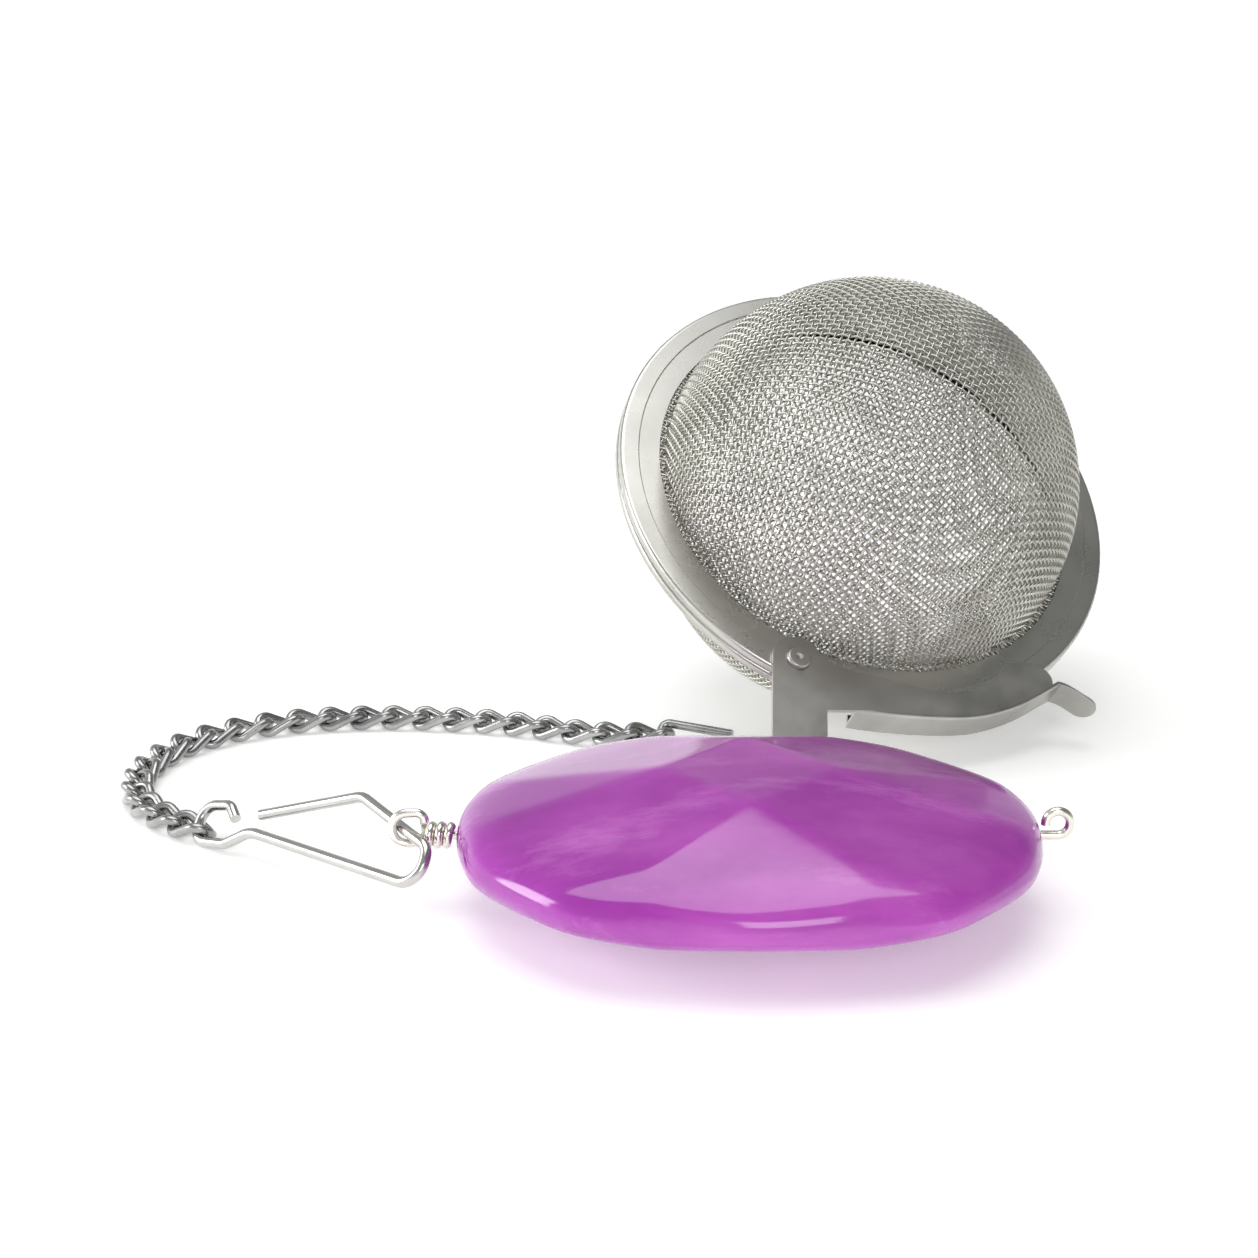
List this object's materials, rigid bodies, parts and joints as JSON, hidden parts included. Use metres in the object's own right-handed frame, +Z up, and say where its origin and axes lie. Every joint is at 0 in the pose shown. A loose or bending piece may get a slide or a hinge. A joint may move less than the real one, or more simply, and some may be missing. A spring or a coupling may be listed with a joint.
{
  "type": "tea infuser",
  "caption": "Hinged wire-mesh tea ball with a swinging latch, a curb chain, a wire cup hook and a faceted oval bead charm, lying on a table.",
  "frame": {"origin": "on the floor under the middle of the part's bounding box", "axes": "+Z is up; +X runs to the right along the charm; +Y runs away from the charm towards the mesh ball"},
  "size_m": [0.0968, 0.0936, 0.0447],
  "materials": {
    "stamped_steel": "satin stamped stainless steel",
    "woven_mesh": "plain woven stainless wire",
    "chain_steel": "drawn steel wire, darker in the joints",
    "hook_steel": "polished wire",
    "silver_wire": "bright silver-plated wire",
    "bead_stone": "polished translucent dyed stone, purple"
  },
  "bodies": {
    "latch": {"latch_lever": "stamped_steel"},
    "front_shell": {"front_rim_ring": "stamped_steel", "front_clamp_ring": "stamped_steel", "front_mesh_dome": "woven_mesh", "front_hinge_leaf_01": "stamped_steel", "front_hinge_leaf_02": "stamped_steel", "latch_rivet": "stamped_steel"},
    "rear_shell": {"rear_rim_ring": "stamped_steel", "rear_clamp_ring": "stamped_steel", "rear_mesh_dome": "woven_mesh", "rear_hinge_leaf": "stamped_steel", "hinge_pin": "stamped_steel"},
    "chain": {"chain_connector": "chain_steel", "chain_link_01": "chain_steel", "chain_link_02": "chain_steel", "chain_link_03": "chain_steel", "chain_link_04": "chain_steel", "chain_link_05": "chain_steel", "chain_link_06": "chain_steel", "chain_link_07": "chain_steel", "chain_link_08": "chain_steel", "chain_link_09": "chain_steel", "chain_link_10": "chain_steel", "chain_link_11": "chain_steel", "chain_link_12": "chain_steel", "chain_link_13": "chain_steel", "chain_link_14": "chain_steel", "chain_link_15": "chain_steel", "chain_link_16": "chain_steel", "chain_link_17": "chain_steel", "chain_link_18": "chain_steel", "chain_link_19": "chain_steel", "chain_link_20": "chain_steel", "chain_link_21": "chain_steel", "chain_link_22": "chain_steel", "chain_link_23": "chain_steel", "chain_link_24": "chain_steel"},
    "hook": {"cup_hook": "hook_steel"},
    "charm": {"charm_bead": "bead_stone", "bead_wire": "silver_wire", "bead_wire_wraps": "silver_wire"}
  },
  "joints": [
    {"name": "latch_swing", "type": "hinge", "parent": "latch", "child": "front_shell", "pos_m": [0.01491, 0.00509, 0.00994], "axis": [0.2632, -0.6053, 0.7513], "range_deg": [-3, 45]},
    {"name": "shell_hinge", "type": "hinge", "parent": "front_shell", "child": "rear_shell", "pos_m": [0.02858, 0.04583, 0.03798], "axis": [0.944, 0.0008, -0.33], "range_deg": [0, 180]},
    {"name": "connector_swing", "type": "hinge", "parent": "latch", "child": "chain", "pos_m": [0.0148, -0.0052, 0.0036], "axis": [0, 0, 1], "range_deg": [-8, 8]},
    {"name": "hook_swing", "type": "hinge", "parent": "chain", "child": "hook", "pos_m": [-0.0386, -0.0144, 0.0012], "axis": [0, 0, 1], "range_deg": [-5, 1]},
    {"name": "bead_swing", "type": "hinge", "parent": "hook", "child": "charm", "pos_m": [-0.01924, -0.02734, 0.00655], "axis": [0, 0, 1], "range_deg": [-2, 1]}
  ]
}
